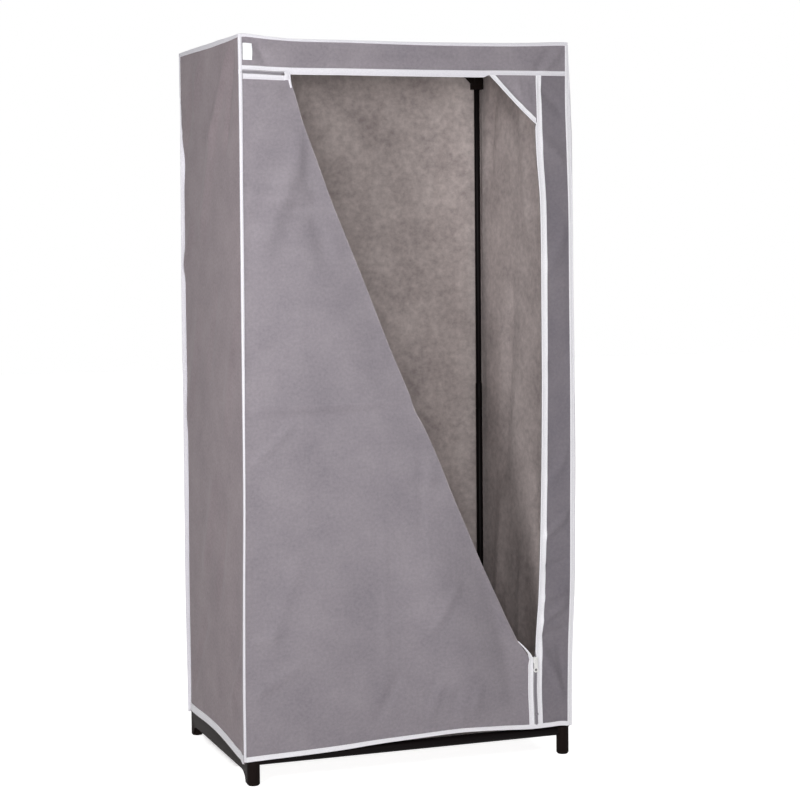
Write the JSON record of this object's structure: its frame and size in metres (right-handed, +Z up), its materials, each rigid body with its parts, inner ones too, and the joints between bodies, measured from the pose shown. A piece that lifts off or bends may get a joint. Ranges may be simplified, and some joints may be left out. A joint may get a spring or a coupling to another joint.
{
  "type": "portable fabric wardrobe",
  "caption": "Tall fabric wardrobe: sewn cover with bound edges over a plugged tube frame, with an L-shaped zip door whose free leaf is turned inwards along a slanted crease.",
  "frame": {"origin": "middle of the bounding box on the floor, at the bottom of the feet", "axes": "+X to the right as seen from the front, +Y from the front to the back, +Z up"},
  "size_m": [0.767, 0.531, 1.593],
  "materials": {
    "cloth": "matt non-woven, mid grey",
    "binding": "matt non-woven tape, white",
    "zip": "coil zip, grey",
    "slider": "semi-gloss, white",
    "moulding": "moulded, near-black",
    "tube": "powder-coated tube, near-black",
    "label": "smooth woven, white, blank"
  },
  "bodies": {
    "wardrobe": {"base_side_left": "moulding", "base_side_right": "moulding", "base_rail_front": "tube", "base_rail_back": "tube", "post_lower_front_left": "tube", "post_lower_front_right": "tube", "post_lower_back_left": "tube", "post_lower_back_right": "tube", "post_upper_front_left": "tube", "post_upper_front_right": "tube", "post_upper_back_left": "tube", "post_upper_back_right": "tube", "top_corner_front_left": "moulding", "top_corner_front_right": "moulding", "top_corner_back_left": "moulding", "top_corner_back_right": "moulding", "top_rail_front": "tube", "top_rail_back": "tube", "top_rail_left": "tube", "top_rail_right": "tube", "hanging_rail": "tube", "rail_holder_left": "moulding", "rail_holder_right": "moulding", "cover_left": "cloth", "cover_right": "cloth", "cover_back": "cloth", "cover_top": "cloth", "valance": "cloth", "side_strip": "cloth", "corner_gusset": "cloth", "door_front": "cloth", "zip_half_cover": "zip", "zip_half_door": "zip", "zip_half_door_top": "zip", "door_tape": "binding", "door_tape_top": "binding", "valance_binding": "binding", "strip_binding": "binding", "gusset_binding": "binding", "top_binding": "binding", "hem_front": "binding", "hem_back": "binding", "hem_left": "binding", "hem_right": "binding", "seam_binding_front_left": "binding", "seam_binding_front_right": "binding", "seam_binding_back_left": "binding", "seam_binding_back_right": "binding", "label": "label", "zip_bottom_stop": "slider", "zip_end_piece": "binding"},
    "door_flap": {"door_flap": "cloth", "flap_tape_side": "binding", "flap_tape_top": "binding"},
    "door_corner": {"door_flap_corner": "cloth", "flap_corner_tape": "binding"},
    "zip_slider": {"zip_slider": "slider"},
    "zip_pull": {"zip_pull": "slider"}
  },
  "joints": [
    {"name": "door_turn_in", "type": "hinge", "parent": "wardrobe", "child": "door_flap", "pos_m": [0.248, -0.257, 0.258], "axis": [0.3837, 0, -0.9235], "range_deg": [0, 180]},
    {"name": "door_corner_fold", "type": "hinge", "parent": "door_flap", "child": "door_corner", "pos_m": [-0.333, -0.25355, 1.11], "axis": [0, 0, 1], "range_deg": [0, 90]},
    {"name": "zip_slide", "type": "slide", "parent": "wardrobe", "child": "zip_slider", "axis": [0.0083, 0, 1], "range_m": [-0.12, 1.189]},
    {"name": "zip_pull_swing", "type": "hinge", "parent": "zip_slider", "child": "zip_pull", "pos_m": [0.29197, -0.26315, 0.211], "axis": [-1, 0, 0.0083], "range_deg": [0, 170]}
  ],
  "couplings": [
    {"joint": "door_corner_fold", "follows": "door_turn_in", "ratio": 0.5}
  ]
}
